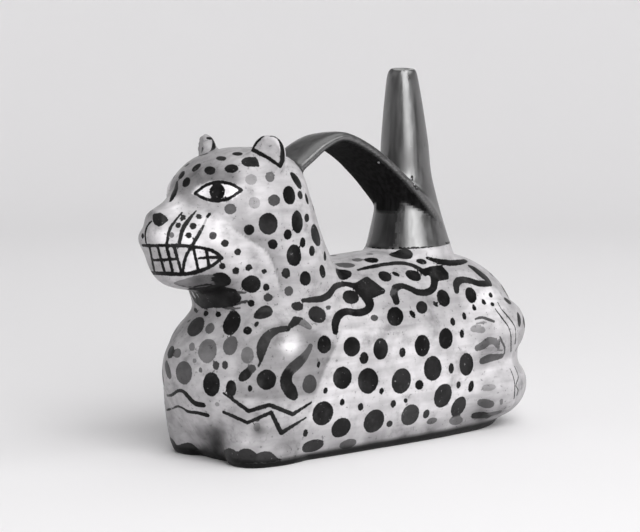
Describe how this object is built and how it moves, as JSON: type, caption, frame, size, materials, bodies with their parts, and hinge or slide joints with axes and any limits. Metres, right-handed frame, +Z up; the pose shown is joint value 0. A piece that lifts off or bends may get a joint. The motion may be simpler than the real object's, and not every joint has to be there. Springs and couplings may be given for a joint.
{
  "type": "whistling jar",
  "caption": "Hollow fired clay jar in the form of a resting spotted cat, with a strap handle from the head to a tapered spout.",
  "frame": {"origin": "centre of the footprint box, on the surface that the jar stands on", "axes": "-X is where the cat looks, +X is its rump, -Y is its left side, +Z is up along the spout"},
  "size_m": [0.2231, 0.0771, 0.1771],
  "materials": {
    "clay": "burnished slip, dark spots and lines on pale grey, dark strap and spout"
  },
  "bodies": {
    "root": {"jar": "clay"}
  },
  "joints": []
}
